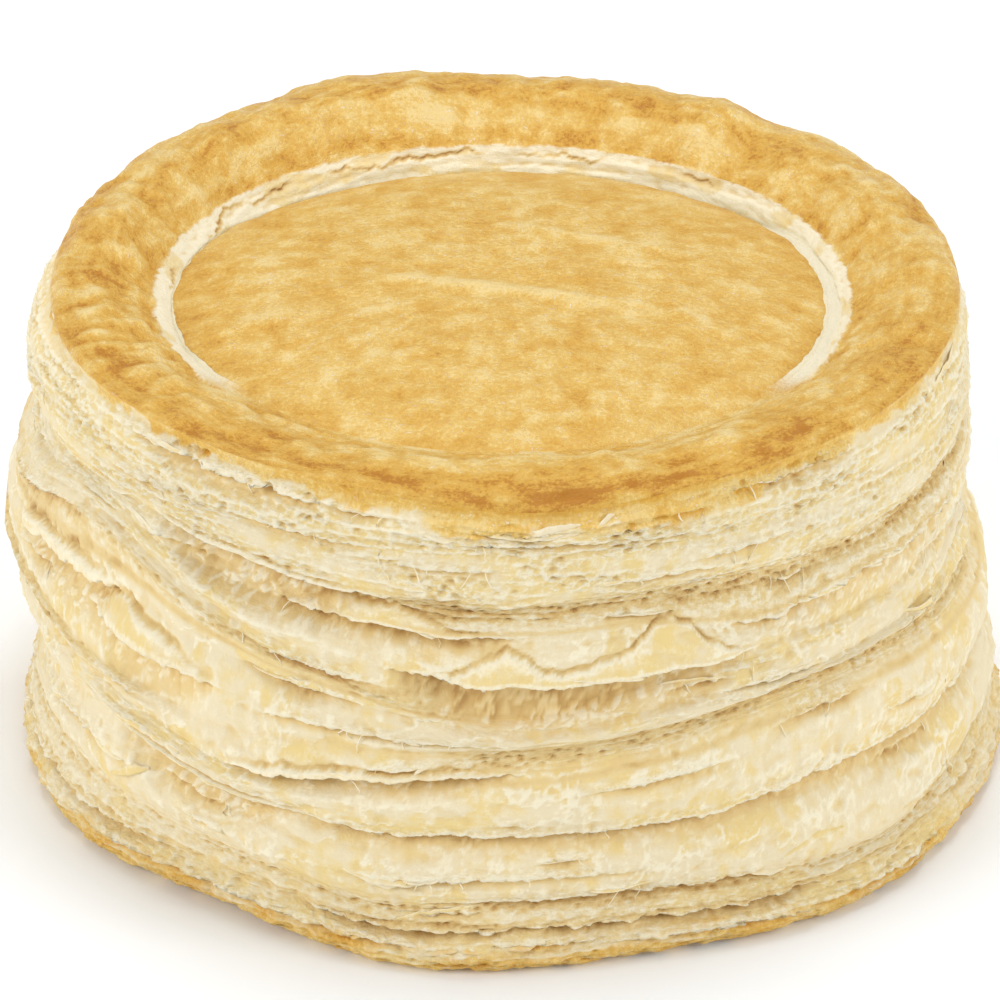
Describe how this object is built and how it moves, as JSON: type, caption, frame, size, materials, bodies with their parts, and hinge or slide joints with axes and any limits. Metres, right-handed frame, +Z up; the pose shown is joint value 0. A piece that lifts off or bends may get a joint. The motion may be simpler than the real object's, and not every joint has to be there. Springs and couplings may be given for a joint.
{
  "type": "vol-au-vent",
  "caption": "round puff pastry case baked blind, with risen flaky layers round its side, a rolled golden rim and a scored lid still in place, ready to be opened and filled",
  "frame": {"origin": "middle of the flat underside, where the pastry stands", "axes": "+Z up through the lid, -Y the side that the picture shows in front, +X to its right"},
  "size_m": [0.0922, 0.093, 0.0483],
  "materials": {
    "baked_dough": "dry baked puff pastry: pale cream flaky layers on the side, egg-washed golden brown crust with a soft sheen on the rim and the lid"
  },
  "bodies": {
    "root": {"pastry_case": "baked_dough"}
  },
  "joints": []
}
